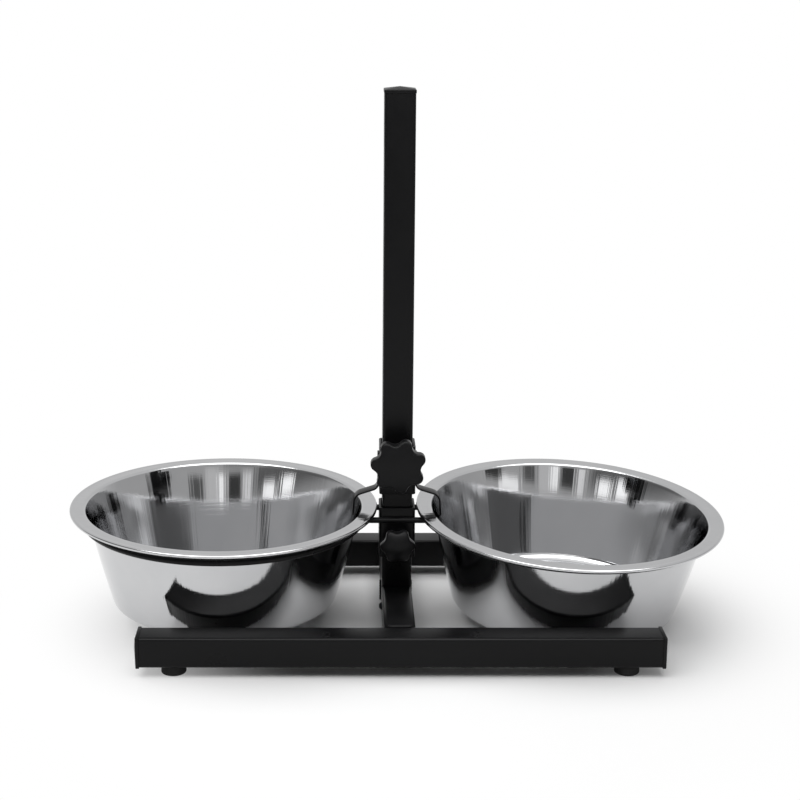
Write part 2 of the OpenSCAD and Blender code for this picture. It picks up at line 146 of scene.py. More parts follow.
def makeLight():
    box = studio["softbox"]
    data = bpy.data.lights.new("softbox", "AREA")
    data.shape = "SQUARE"
    data.size = box["size"]
    data.energy = box["watts"]
    lamp = bpy.data.objects.new("softbox", data)
    lamp.location = box["place"]
    lamp.rotation_euler = (Vector(box["aim"]) - Vector(box["place"])).to_track_quat("-Z", "Y").to_euler()
    lamp.visible_camera = False
    lamp.visible_glossy = False  # the steel shows the room instead
    bpy.context.scene.collection.objects.link(lamp)

    # the room round the stand, which only gloss shows: walls, windows and dark gaps
    world = bpy.data.worlds.new("room")
    bpy.context.scene.world = world
    world.use_nodes = True
    tree = world.node_tree
    tree.nodes.clear()
    coords = addNode(tree, "ShaderNodeTexCoord")
    split = addNode(tree, "ShaderNodeSeparateXYZ", None, {"Vector": coords.outputs["Generated"]})
    toFront = addNode(tree, "ShaderNodeMath", {"operation": "MULTIPLY"}, {0: split.outputs["Y"], 1: -1.0})
    turn = addNode(tree, "ShaderNodeMath", {"operation": "ARCTAN2"},
                   {0: split.outputs["X"], 1: toFront.outputs["Value"]})
    lift = addNode(tree, "ShaderNodeMath", {"operation": "ARCSINE"}, {0: split.outputs["Z"]})
    around = addNode(tree, "ShaderNodeMath", {"operation": "DEGREES"},
                     {0: turn.outputs["Value"]}).outputs["Value"]
    up = addNode(tree, "ShaderNodeMath", {"operation": "DEGREES"},
                 {0: lift.outputs["Value"]}).outputs["Value"]
    low, high = studio["ceilingFrom"]
    grey = addNode(tree, "ShaderNodeMapRange", {"interpolation_type": "SMOOTHSTEP"},
                   {"Value": up, "From Min": low, "From Max": high, "To Min": studio["wall"],
                    "To Max": studio["ceiling"]}).outputs["Result"]
    for left, right, bottom, top, soft, level in studio["patches"]:
        cover = 1.0
        for angle, first, last in ((around, left, right), (up, bottom, top)):
            off = addNode(tree, "ShaderNodeMath", {"operation": "SUBTRACT"}, {0: angle, 1: (first + last) / 2})
            away = addNode(tree, "ShaderNodeMath", {"operation": "ABSOLUTE"}, {0: off.outputs["Value"]})
            half = (last - first) / 2
            cover = addNode(tree, "ShaderNodeMapRange", {"interpolation_type": "SMOOTHSTEP"},
                            {"Value": away.outputs["Value"], "From Min": half - soft / 2,
                             "From Max": half + soft / 2, "To Min": cover, "To Max": 0.0}).outputs["Result"]
        grey = addNode(tree, "ShaderNodeMapRange", None,
                       {"Value": cover, "To Min": grey, "To Max": level}).outputs["Result"]
    path = addNode(tree, "ShaderNodeLightPath")
    shown = addNode(tree, "ShaderNodeMath", {"operation": "MAXIMUM"},
                    {0: path.outputs["Is Camera Ray"], 1: path.outputs["Is Transmission Ray"]})
    fill = studio["fill"]
    mirrored = addNode(tree, "ShaderNodeMix", {"data_type": "RGBA"},
                       {"Factor": path.outputs["Is Glossy Ray"], "A": (fill, fill, fill, 1), "B": grey})
    colour = addNode(tree, "ShaderNodeMix", {"data_type": "RGBA"},
                     {"Factor": shown.outputs["Value"], "A": mirrored.outputs["Result"], "B": (1, 1, 1, 1)})
    back = addNode(tree, "ShaderNodeBackground", None, {"Color": colour.outputs["Result"], "Strength": 1.0})
    addNode(tree, "ShaderNodeOutputWorld", None, {"Surface": back.outputs["Background"]})


bpy.context.scene.view_settings.view_transform = "Standard"
makeCamera()
makeFloor()
makeLight()
print("camera, floor and light ready")


# Materials

def startMaterial(name, metallic, roughness):
    # a principled shader with the even values set on its own sockets
    material = bpy.data.materials.new(name)
    material.use_nodes = True
    tree = material.node_tree
    tree.nodes.clear()
    shader = addNode(tree, "ShaderNodeBsdfPrincipled", None, {"Metallic": metallic, "Roughness": roughness})
    addNode(tree, "ShaderNodeOutputMaterial", None, {"Surface": shader.outputs["BSDF"]})
    coords = addNode(tree, "ShaderNodeTexCoord")
    return material, tree, shader, coords.outputs["Object"]


# Polyester powder coat on steel tube: a near black satin skin with faint orange peel and soft smudges
def powderCoat():
    look = {"dark": "#0b0b0c", "pale": "#131314", "gloss": 0.14, "smudge": 38 * mm, "smooth": 0.27, "dull": 0.4,
            "peel": 2.4 * mm, "peelBump": 0.18, "peelHeight": 0.08 * mm}
    material, tree, shader, place = startMaterial("satin black powder coat", 0.0, 0.42)
    shader.inputs["Specular IOR Level"].default_value = look["gloss"]
    smudge = addNode(tree, "ShaderNodeTexNoise", None,
                     {"Vector": place, "Scale": 1 / look["smudge"], "Detail": 4.0, "Roughness": 0.6})
    colour = addNode(tree, "ShaderNodeMix", {"data_type": "RGBA"},
                     {"Factor": smudge.outputs["Fac"], "A": linear(look["dark"]), "B": linear(look["pale"])})
    rough = addNode(tree, "ShaderNodeMapRange", None,
                    {"Value": smudge.outputs["Fac"], "From Min": 0.3, "From Max": 0.7,
                     "To Min": look["smooth"], "To Max": look["dull"]})
    peel = addNode(tree, "ShaderNodeTexNoise", None,  # real peel is about 1 mm, drawn coarser so that it shows
                   {"Vector": place, "Scale": 1 / look["peel"], "Detail": 2.0})
    bump = addNode(tree, "ShaderNodeBump", None,
                   {"Height": peel.outputs["Fac"], "Strength": look["peelBump"], "Distance": look["peelHeight"]})
    tree.links.new(colour.outputs["Result"], shader.inputs["Base Color"])
    tree.links.new(rough.outputs["Result"], shader.inputs["Roughness"])
    tree.links.new(bump.outputs["Normal"], shader.inputs["Normal"])
    return material


# Glass-filled nylon, moulded with a spark-eroded grain: dark, even and slightly mottled
def mouldedNylon():
    look = {"dark": "#0b0b0c", "pale": "#151516", "gloss": 0.15, "mottle": 9 * mm, "smooth": 0.3, "dull": 0.46,
            "grain": 1.1 * mm, "grainBump": 0.25, "grainHeight": 0.06 * mm}
    material, tree, shader, place = startMaterial("moulded black nylon", 0.0, 0.5)
    shader.inputs["Specular IOR Level"].default_value = look["gloss"]
    mottle = addNode(tree, "ShaderNodeTexNoise", None,
                     {"Vector": place, "Scale": 1 / look["mottle"], "Detail": 5.0, "Roughness": 0.65})
    colour = addNode(tree, "ShaderNodeMix", {"data_type": "RGBA"},
                     {"Factor": mottle.outputs["Fac"], "A": linear(look["dark"]), "B": linear(look["pale"])})
    rough = addNode(tree, "ShaderNodeMapRange", None,
                    {"Value": mottle.outputs["Fac"], "From Min": 0.3, "From Max": 0.7,
                     "To Min": look["smooth"], "To Max": look["dull"]})
    grain = addNode(tree, "ShaderNodeTexNoise", None,
                    {"Vector": place, "Scale": 1 / look["grain"], "Detail": 3.0, "Roughness": 0.7})
    bump = addNode(tree, "ShaderNodeBump", None,
                   {"Height": grain.outputs["Fac"], "Strength": look["grainBump"],
                    "Distance": look["grainHeight"]})
    tree.links.new(colour.outputs["Result"], shader.inputs["Base Color"])
    tree.links.new(rough.outputs["Result"], shader.inputs["Roughness"])
    tree.links.new(bump.outputs["Normal"], shader.inputs["Normal"])
    return material


# Moulded rubber foot: dull, with a bloom of grey dust
def footRubber():
    look = {"dark": "#101010", "pale": "#1e1e1e", "gloss": 0.3, "bloom": 6 * mm,
            "grain": 0.9 * mm, "grainBump": 0.3, "grainHeight": 0.08 * mm}
    material, tree, shader, place = startMaterial("moulded rubber", 0.0, 0.78)
    shader.inputs["Specular IOR Level"].default_value = look["gloss"]
    bloom = addNode(tree, "ShaderNodeTexNoise", None,
                    {"Vector": place, "Scale": 1 / look["bloom"], "Detail": 6.0, "Roughness": 0.7})
    colour = addNode(tree, "ShaderNodeMix", {"data_type": "RGBA"},
                     {"Factor": bloom.outputs["Fac"], "A": linear(look["dark"]), "B": linear(look["pale"])})
    grain = addNode(tree, "ShaderNodeTexNoise", None,
                    {"Vector": place, "Scale": 1 / look["grain"], "Detail": 2.0})
    bump = addNode(tree, "ShaderNodeBump", None,
                   {"Height": grain.outputs["Fac"], "Strength": look["grainBump"],
                    "Distance": look["grainHeight"]})
    tree.links.new(colour.outputs["Result"], shader.inputs["Base Color"])
    tree.links.new(bump.outputs["Normal"], shader.inputs["Normal"])
    return material


# Bright zinc plate on steel: silvery with cloudy patches of duller passivation
def zincPlate():
    look = {"grey": "#8d9195", "bright": "#b9bcc0", "cloud": 5 * mm, "smooth": 0.26, "dull": 0.42}
    material, tree, shader, place = startMaterial("bright zinc plate", 1.0, 0.32)
    cloud = addNode(tree, "ShaderNodeTexNoise", None,
                    {"Vector": place, "Scale": 1 / look["cloud"], "Detail": 5.0, "Roughness": 0.6})
    colour = addNode(tree, "ShaderNodeMix", {"data_type": "RGBA"},
                     {"Factor": cloud.outputs["Fac"], "A": linear(look["grey"]), "B": linear(look["bright"])})
    rough = addNode(tree, "ShaderNodeMapRange", None,
                    {"Value": cloud.outputs["Fac"], "From Min": 0.3, "From Max": 0.7,
                     "To Min": look["dull"], "To Max": look["smooth"]})
    tree.links.new(colour.outputs["Result"], shader.inputs["Base Color"])
    tree.links.new(rough.outputs["Result"], shader.inputs["Roughness"])
    return material


# Black oxide on a steel bolt: dark grey metal, oily and uneven
def blackOxide():
    look = {"dark": "#1b1b1d", "worn": "#343437", "patch": 2.5 * mm, "smooth": 0.3, "dull": 0.48}
    material, tree, shader, place = startMaterial("black oxide steel", 1.0, 0.38)
    patch = addNode(tree, "ShaderNodeTexNoise", None,
                    {"Vector": place, "Scale": 1 / look["patch"], "Detail": 5.0, "Roughness": 0.65})
    colour = addNode(tree, "ShaderNodeMix", {"data_type": "RGBA"},
                     {"Factor": patch.outputs["Fac"], "A": linear(look["dark"]), "B": linear(look["worn"])})
    rough = addNode(tree, "ShaderNodeMapRange", None,
                    {"Value": patch.outputs["Fac"], "From Min": 0.3, "From Max": 0.7,
                     "To Min": look["smooth"], "To Max": look["dull"]})
    tree.links.new(colour.outputs["Result"], shader.inputs["Base Color"])
    tree.links.new(rough.outputs["Result"], shader.inputs["Roughness"])
    return material


# Pressed and mirror polished 18/0 stainless sheet: sharp reflections that waver a little and break into streaks
# where the press drew the wall down, faint turned polishing lines round the bowl, and soft smears where it was
# wiped
def polishedStainless():
    look = {"steel": "#cccccd", "smear": "#bcbdbf", "wipe": 60 * mm, "smooth": 0.045, "dull": 0.1,
            "ripple": 46 * mm, "rippleBump": 0.2, "rippleHeight": 1.2 * mm,
            "draw": 5 * mm, "drawBump": 0.8, "drawHeight": 0.14 * mm, "foot": 25 * mm,
            "line": 1.6 * mm, "lineBump": 0.2, "lineHeight": 0.05 * mm}
    material, tree, shader, place = startMaterial("mirror polished stainless", 1.0, 0.05)
    wipe = addNode(tree, "ShaderNodeTexNoise", None,
                   {"Vector": place, "Scale": 1 / look["wipe"], "Detail": 6.0, "Roughness": 0.62})
    colour = addNode(tree, "ShaderNodeMix", {"data_type": "RGBA"},
                     {"Factor": wipe.outputs["Fac"], "A": linear(look["steel"]), "B": linear(look["smear"])})
    rough = addNode(tree, "ShaderNodeMapRange", None,
                    {"Value": wipe.outputs["Fac"], "From Min": 0.35, "From Max": 0.75,
                     "To Min": look["smooth"], "To Max": look["dull"]})
    ripple = addNode(tree, "ShaderNodeTexNoise", None,
                     {"Vector": place, "Scale": 1 / look["ripple"], "Detail": 1.0})
    slow = addNode(tree, "ShaderNodeBump", None,
                   {"Height": ripple.outputs["Fac"], "Strength": look["rippleBump"],
                    "Distance": look["rippleHeight"]})
    # how far out and up the sheet a point is, in metres, and the point straight out from it on the rim
    along = addNode(tree, "ShaderNodeAttribute", {"attribute_name": "along"})
    around = addNode(tree, "ShaderNodeAttribute", {"attribute_name": "around"})
    streak = addNode(tree, "ShaderNodeTexNoise", None,
                     {"Vector": around.outputs["Vector"], "Scale": 1 / look["draw"], "Detail": 3.0,
                      "Roughness": 0.6})
    onWall = addNode(tree, "ShaderNodeMapRange", None,  # the press draws the wall, not the floor
                     {"Value": along.outputs["Fac"], "From Min": 0.0, "From Max": look["foot"],
                      "To Max": look["drawBump"]})
    drawn = addNode(tree, "ShaderNodeBump", None,
                    {"Height": streak.outputs["Fac"], "Strength": onWall.outputs["Result"],
                     "Distance": look["drawHeight"], "Normal": slow.outputs["Normal"]})
    lines = addNode(tree, "ShaderNodeTexNoise", {"noise_dimensions": "1D"},  # real lines are finer than this
                    {"W": along.outputs["Fac"], "Scale": 1 / look["line"], "Detail": 4.0, "Roughness": 0.7})
    fine = addNode(tree, "ShaderNodeBump", None,
                   {"Height": lines.outputs["Fac"], "Strength": look["lineBump"], "Distance": look["lineHeight"],
                    "Normal": drawn.outputs["Normal"]})
    tree.links.new(colour.outputs["Result"], shader.inputs["Base Color"])
    tree.links.new(rough.outputs["Result"], shader.inputs["Roughness"])
    tree.links.new(fine.outputs["Normal"], shader.inputs["Normal"])
    return material


finish = {
    "powder_coat": powderCoat(),
    "moulded_plastic": mouldedNylon(),
    "foot_rubber": footRubber(),
    "zinc_plate": zincPlate(),
    "black_bolt": blackOxide(),
    "polished_stainless": polishedStainless(),
}
print("materials ready:", len(finish))


# Modelling by hand, in code

tiny = 0.01 * mm  # points closer than this count as one


def startPiece(name, addPrimitive, **settings):
    # a new primitive alone, named and opened in edit mode
    bpy.ops.object.select_all(action="DESELECT")
    addPrimitive(**settings)
    piece = bpy.context.object
    piece.name = name
    piece.data.name = name
    bpy.ops.object.mode_set(mode="EDIT")
    bpy.ops.mesh.select_mode(type="VERT")
    bpy.ops.mesh.select_all(action="SELECT")
    return piece


def pick(kind, test):
    # in edit mode, select only the vertices, edges or faces that pass a test
    bpy.ops.mesh.select_mode(type=kind)
    bpy.ops.mesh.select_all(action="DESELECT")
    mesh = bpy.context.object.data
    shape = bmesh.from_edit_mesh(mesh)
    for item in {"VERT": shape.verts, "EDGE": shape.edges, "FACE": shape.faces}[kind]:
        if test(item):
            item.select_set(True)
    shape.select_flush_mode()
    bmesh.update_edit_mesh(mesh)


def closeEdit():
    # merge doubles, turn all faces outwards and leave edit mode
    bpy.ops.mesh.select_all(action="SELECT")
    bpy.ops.mesh.remove_doubles(threshold=0.002 * mm)
    bpy.ops.mesh.normals_make_consistent(inside=False)
    bpy.ops.object.mode_set(mode="OBJECT")


def modify(piece, kind, **settings):
    # add one modifier and apply it
    bpy.context.view_layer.objects.active = piece
    modifier = piece.modifiers.new(kind, kind)
    for key, value in settings.items():
        setattr(modifier, key, value)
    bpy.ops.object.modifier_apply(modifier=modifier.name)


def soften(piece, width, segments=2, angle=40):
    # a small rounding along the sharp edges
    modify(piece, "BEVEL", width=width, segments=segments, limit_method="ANGLE",
           angle_limit=math.radians(angle), use_clamp_overlap=True)


def combine(piece, tool, operation):
    # a boolean with another piece, which is used up
    modify(piece, "BOOLEAN", operation=operation, object=tool, solver="EXACT")
    bpy.data.objects.remove(tool)


def copyOf(piece, name):
    copy = piece.copy()
    copy.data = piece.data.copy()
    copy.name = name
    copy.data.name = name
    bpy.context.scene.collection.objects.link(copy)
    return copy


def setAt(piece, place):
    # put the place into the mesh, so that the object stays at the origin
    bpy.ops.object.select_all(action="DESELECT")
    piece.select_set(True)
    bpy.context.view_layer.objects.active = piece
    piece.matrix_world = place
    bpy.ops.object.transform_apply(location=True, rotation=True, scale=True)
    return piece


def dress(piece, body, slot, replaced=(), smooth=35):
    # shading, finish and the body that it moves with
    bpy.ops.object.select_all(action="DESELECT")
    piece.select_set(True)
    bpy.context.view_layer.objects.active = piece
    bpy.ops.object.shade_smooth_by_angle(angle=math.radians(smooth))
    piece.data.materials.clear()
    piece.data.materials.append(finish[slot])
    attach(piece, body)
    if replaced:
        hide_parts(*replaced)


def turned(name, outline, steps):
    # a turned piece: an outline of (radius, height) drawn point by point and spun round Z
    piece = startPiece(name, bpy.ops.mesh.primitive_plane_add, size=mm)
    bpy.ops.mesh.merge(type="CENTER")
    bpy.ops.transform.translate(value=(outline[0][0], 0, outline[0][1]))
    for (r0, z0), (r1, z1) in zip(outline, outline[1:]):
        bpy.ops.mesh.extrude_vertices_move(TRANSFORM_OT_translate={"value": (r1 - r0, 0, z1 - z0)})
    bpy.ops.mesh.select_all(action="SELECT")
    bpy.ops.mesh.spin(steps=steps, angle=2 * math.pi, center=(0, 0, 0), axis=(0, 0, 1))
    closeEdit()
    return piece


def bends(moves, start, heading, steps=10):
    # points along a bent strip, from moves of (straight length, turn in degrees, radius)
    at, points = Vector(start), [Vector(start)]
    for length, turn, radius in moves:
        at = at + length * Vector((math.cos(heading), math.sin(heading)))
        points.append(at.copy())
        side = math.copysign(1, turn)
        middle = at + side * radius * Vector((-math.sin(heading), math.cos(heading)))
        first = heading
        for i in range(1, steps + 1 if turn else 1):
            heading = first + math.radians(turn) * i / steps
            at = middle - side * radius * Vector((-math.sin(heading), math.cos(heading)))
            points.append(at.copy())
    return points


def squareTube(name, size, hole=None):
    # a length of square tube along Z with rounded corners and deburred ends
    w, length = size["width"], size["length"]
    piece = startPiece(name, bpy.ops.mesh.primitive_cube_add, size=1.0)
    bpy.ops.transform.resize(value=(w, w, length))
    bpy.ops.transform.translate(value=(0, 0, length / 2))
    pick("EDGE", lambda e: abs(e.verts[0].co.z - e.verts[1].co.z) > length / 2)
    bpy.ops.mesh.bevel(offset=size["corner"], segments=8, affect="EDGES")
    pick("FACE", lambda f: abs(f.normal.z) > 0.9)
    bpy.ops.mesh.delete(type="FACE")
    closeEdit()
    modify(piece, "SOLIDIFY", thickness=size["wall"], offset=-1.0, use_even_offset=True)
    if hole:
        drill = startPiece("drill", bpy.ops.mesh.primitive_cylinder_add, vertices=32,
                           radius=hole["diameter"] / 2, depth=w, location=(0, -w / 2, hole["height"]),
                           rotation=(math.pi / 2, 0, 0))
        closeEdit()
        combine(piece, drill, "DIFFERENCE")
    soften(piece, size["edge"])
    return piece


def boxMiddle(node):
    low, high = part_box(node)
    return (low + high) / 2


# Base and post

tube = {"width": 25 * mm, "wall": 1.5 * mm, "corner": 2.5 * mm, "edge": 0.3 * mm}
bead = {"radius": 1.5 * mm, "ripple": 0.22 * mm, "step": 1.1 * mm, "endShare": 0.6, "sides": 14,
        "inset": 3.2 * mm}


def alongX(node):
    # where a length modelled along Z lies along X, from the low end of its node
    low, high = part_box(node)
    start = (low.x, (low.y + high.y) / 2, (low.z + high.z) / 2)
    return Matrix.Translation(start) @ Matrix.Rotation(math.pi / 2, 4, "Y")


def alongY(node):
    low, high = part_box(node)
    start = ((low.x + high.x) / 2, low.y, (low.z + high.z) / 2)
    return Matrix.Translation(start) @ Matrix.Rotation(-math.pi / 2, 4, "X")


def makeTubes():
    for node in ("front_bar", "rear_bar"):
        low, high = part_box(node)
        bar = squareTube(node + "_tube", dict(tube, length=high.x - low.x))
        dress(setAt(bar, alongX(node)), "stand", "powder_coat", [node])
    for node in ("front_arm", "rear_arm"):
        low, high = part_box(node)
        arm = squareTube(node + "_tube", dict(tube, length=high.y - low.y))
        dress(setAt(arm, alongY(node)), "stand", "powder_coat", [node])
    low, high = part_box("post_tube")
    post = squareTube("upright_tube", dict(tube, length=high.z - low.z))
    dress(setAt(post, Matrix.Translation((0, 0, low.z))), "stand", "powder_coat", ["post_tube"])


def weldBead(name, start, end, body):
    # a rippled bead of weld between two points, under the paint
    start, end = Vector(start), Vector(end)
    length = (end - start).length
    count = int(length / bead["step"])
    outline = [(0, 0)]
    for i in range(count + 1):
        r = bead["radius"] + (bead["ripple"] if i % 2 else -bead["ripple"])
        if i in (0, count):
            r = bead["radius"] * bead["endShare"]
        outline.append((r, length * i / count))
    outline.append((0, length))
    piece = turned(name, outline, bead["sides"])
    place = Matrix.Translation(start) @ (end - start).to_track_quat("Z", "Y").to_matrix().to_4x4()
    dress(setAt(piece, place), body, "powder_coat", smooth=60)


def makeBaseWelds():
    for side, name in ((-1, "front"), (1, "rear")):
        low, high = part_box(name + "_arm")
        y = low.y if side < 0 else high.y
        inset = bead["inset"]
        weldBead(name + "_top_weld", (low.x + inset, y, high.z), (high.x - inset, y, high.z), "stand")
        for x, hand in ((low.x, "left"), (high.x, "right")):
            weldBead(f"{name}_{hand}_weld", (x, y, low.z + inset), (x, y, high.z - inset), "stand")
            if side > 0:
                weldBead(f"post_{hand}_weld", (x, low.y, low.z + inset), (x, low.y, high.z - inset), "stand")
        if side > 0:
            weldBead("post_top_weld", (low.x + inset, low.y, high.z), (high.x - inset, low.y, high.z), "stand")


cap = {"width": 25.6 * mm, "rim": 2.8 * mm, "peak": 2.2 * mm, "edge": 0.45 * mm, "plug": 14 * mm,
       "plugWidth": 21.6 * mm, "wall": 2 * mm}


def endCap():
    # a plug with a flat rim and a low pyramid, pointing along +Z from the end of the tube
    piece = startPiece("cap", bpy.ops.mesh.primitive_cube_add, size=1.0)
    bpy.ops.transform.resize(value=(cap["width"], cap["width"], cap["rim"]))
    bpy.ops.transform.translate(value=(0, 0, cap["rim"] / 2))
    pick("FACE", lambda f: f.normal.z > 0.9)
    bpy.ops.mesh.poke(offset=cap["peak"])
    pick("FACE", lambda f: f.normal.z < -0.9)
    bpy.ops.mesh.inset(thickness=(cap["width"] - cap["plugWidth"]) / 2)
    bpy.ops.mesh.extrude_region_move(TRANSFORM_OT_translate={"value": (0, 0, -cap["plug"])})
    bpy.ops.mesh.inset(thickness=cap["wall"])
    bpy.ops.mesh.extrude_region_move(TRANSFORM_OT_translate={"value": (0, 0, cap["plug"])})
    closeEdit()
    soften(piece, cap["edge"], 3, 8)
    return piece


def makeCaps():
    cad = {"post_cap": ("Z", 1)}
    for side in ("front", "rear"):
        cad[side + "_left_cap"] = ("X", -1)
        cad[side + "_right_cap"] = ("X", 1)
    first = endCap()
    reach = cap["rim"] + cap["peak"]
    for node, (axis, way) in cad.items():
        low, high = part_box(node)
        middle = (low + high) / 2
        if axis == "Z":
            place = Matrix.Translation((middle.x, middle.y, high.z - reach))
        else:
            x = high.x - reach if way > 0 else low.x + reach
            place = Matrix.Translation((x, middle.y, middle.z)) @ Matrix.Rotation(way * math.pi / 2, 4, "Y")
        piece = copyOf(first, node.replace("_cap", "_plug"))
        dress(setAt(piece, place), "stand", "moulded_plastic", [node], 30)
    bpy.data.objects.remove(first)


foot = {"radius": 10 * mm, "height": 8 * mm, "round": 1.5 * mm, "draft": 0.35 * mm, "chamfer": 0.5 * mm,
        "recess": 4.5 * mm, "recessDepth": 4 * mm, "lip": 0.3 * mm, "bore": 2.2 * mm}


def makeFeet():
    r, h, c = foot["radius"], foot["height"], foot["round"]
    bore, recess, top = foot["bore"], foot["recess"], r - foot["draft"]
    outline = [(bore, h), (bore, foot["recessDepth"]), (recess, foot["recessDepth"]), (recess, foot["lip"]),
               (recess + foot["lip"], 0)]
    for i in range(7):
        a = math.pi / 2 * i / 6
        outline.append((r - c + c * math.sin(a), c - c * math.cos(a)))
    outline += [(top, h - foot["chamfer"]), (top - foot["chamfer"], h), (bore, h)]
    first = turned("foot", outline, 64)
    for node in ("front_left_foot", "front_right_foot", "rear_left_foot", "rear_right_foot"):
        middle = boxMiddle(node)
        piece = copyOf(first, node.replace("_foot", "_pad"))
        dress(setAt(piece, Matrix.Translation((middle.x, middle.y, 0))), "stand", "foot_rubber", [node])
    bpy.data.objects.remove(first)


bolt = {"thread": 4 * mm, "tipInset": 0.4 * mm, "tipLength": 0.5 * mm, "head": 6.4 * mm, "headHeight": 2.8 * mm,
        "headEdge": 0.8 * mm, "socket": 2.5 * mm, "socketDepth": 1.5 * mm}


def hexPrism(name, acrossFlats, low, high):
    piece = startPiece(name, bpy.ops.mesh.primitive_cylinder_add, vertices=6,
                       radius=acrossFlats / 2 / math.cos(math.pi / 6), depth=high - low,
                       location=(0, 0, (low + high) / 2))
    closeEdit()
    bpy.ops.object.transform_apply(location=True, rotation=True, scale=True)
    return piece


def hexNut(name, acrossFlats, height, bore):
    # a hexagon with its corners turned down at both ends and a countersunk bore
    piece = hexPrism(name, acrossFlats, 0, height)
    corner = acrossFlats / 2 / math.cos(math.pi / 6)
    face = acrossFlats / 2 * 0.97  # the turned face ends just inside the flats
    drop = (corner - face) * math.tan(math.radians(30))
    barrel = turned("barrel", [(0, 0), (face, 0), (corner, drop), (corner, height - drop), (face, height),
                               (0, height)], 72)
    combine(piece, barrel, "INTERSECT")
    sink = 0.4 * mm
    tool = turned("drill", [(0, -mm), (bore + sink + mm, -mm), (bore, sink), (bore, height - sink),
                            (bore + sink + mm, height + mm), (0, height + mm)], 40)
    combine(piece, tool, "DIFFERENCE")
    return piece


def threaded(name, diameter, length, pitch):
    # a stud with its thread drawn as close rings, and chamfered ends
    r, depth = diameter / 2, 0.54 * pitch
    outline = [(0, 0), (r - depth, 0)]
    z = depth
    while z < length - depth:
        outline += [(r, z), (r, z + 0.12 * pitch), (r - depth, z + 0.5 * pitch), (r - depth, z + 0.62 * pitch)]
        z += pitch
    outline = [p for p in outline if p[1] <= length - 0.3 * depth] + [(r - depth, length), (0, length)]
    return turned(name, outline, 32)


def makeBolt():
    # a button head bolt with a hexagon socket, in the left side of the front arm
    low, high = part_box("arm_bolt")
    dome = bolt["headHeight"] - bolt["headEdge"]
    neck, head = bolt["thread"] / 2, bolt["head"] / 2
    ball = (head ** 2 + dome ** 2) / (2 * dome)
    shank = high.x - low.x - bolt["headHeight"]
    outline = [(0, shank), (neck - bolt["tipInset"], shank), (neck, shank - bolt["tipLength"]), (neck, 0),
               (head, 0), (head, -bolt["headEdge"])]
    for i in range(1, 9):
        r = head * (1 - i / 8)
        outline.append((r, -bolt["headHeight"] + ball - math.sqrt(ball ** 2 - r ** 2)))
    piece = turned("socket_bolt", outline, 48)
    key = hexPrism("key", bolt["socket"], -bolt["headHeight"] - mm, -bolt["headHeight"] + bolt["socketDepth"])
    combine(piece, key, "DIFFERENCE")
    place = Matrix.Translation((low.x + bolt["headHeight"], (low.y + high.y) / 2, (low.z + high.z) / 2))
    dress(setAt(piece, place @ Matrix.Rotation(math.pi / 2, 4, "Y")), "stand", "black_bolt", ["arm_bolt"], 40)


makeTubes()
makeBaseWelds()
makeCaps()
makeFeet()
makeBolt()
print("base and post ready")


# Bowls and hoops

bowl = {"rim": 258 * mm, "beadSize": 3 * mm, "beadProud": 0.2 * mm, "beadLead": 1.4 * mm, "flat": 9.3 * mm,
        "height": 85 * mm, "sheet": 0.8 * mm, "edge": 0.15 * mm, "floorRound": 9 * mm, "rimRound": 2.5 * mm,
        "curl": 285, "steps": 168, "waistShare": 0.6,
        "foot": 73.5, "waist": 76.6, "lip": 72}  # angles of the wall from the floor, going up
seat = {"rimX": 16.5 * mm, "rimZ": 101.725 * mm, "leftDroop": -0.4, "rightDroop": 2.3, "hoopTip": 0.8,
        "rightTip": 2.5, "rightShift": 0.93 * mm}
hoop = {"wire": 5 * mm, "radius": 117.1 * mm, "drop": 10 * mm, "knuckle": 1.1, "knuckleReach": 5 * mm,
        "knuckleAt": 0.24}  # radians round from the post


def hoopPlace(end):
    # the top middle of a level rim on its hoop: the hoops tip forwards, and sag by different amounts
    droop = seat["leftDroop"] if end < 0 else seat["rightDroop"]
    tilt = Euler((math.radians(seat["hoopTip"]), math.radians(end * droop), 0)).to_matrix().to_4x4()
    return (Matrix.Translation((end * seat["rimX"], 0, seat["rimZ"])) @ tilt
            @ Matrix.Translation((end * bowl["rim"] / 2, 0, 0)))


def bowlPlace(end):
    # the right bowl sits askew in its hoop
    tip = 0 if end < 0 else seat["rightTip"]
    return hoopPlace(end) @ Matrix.Rotation(math.radians(tip), 4, "X")


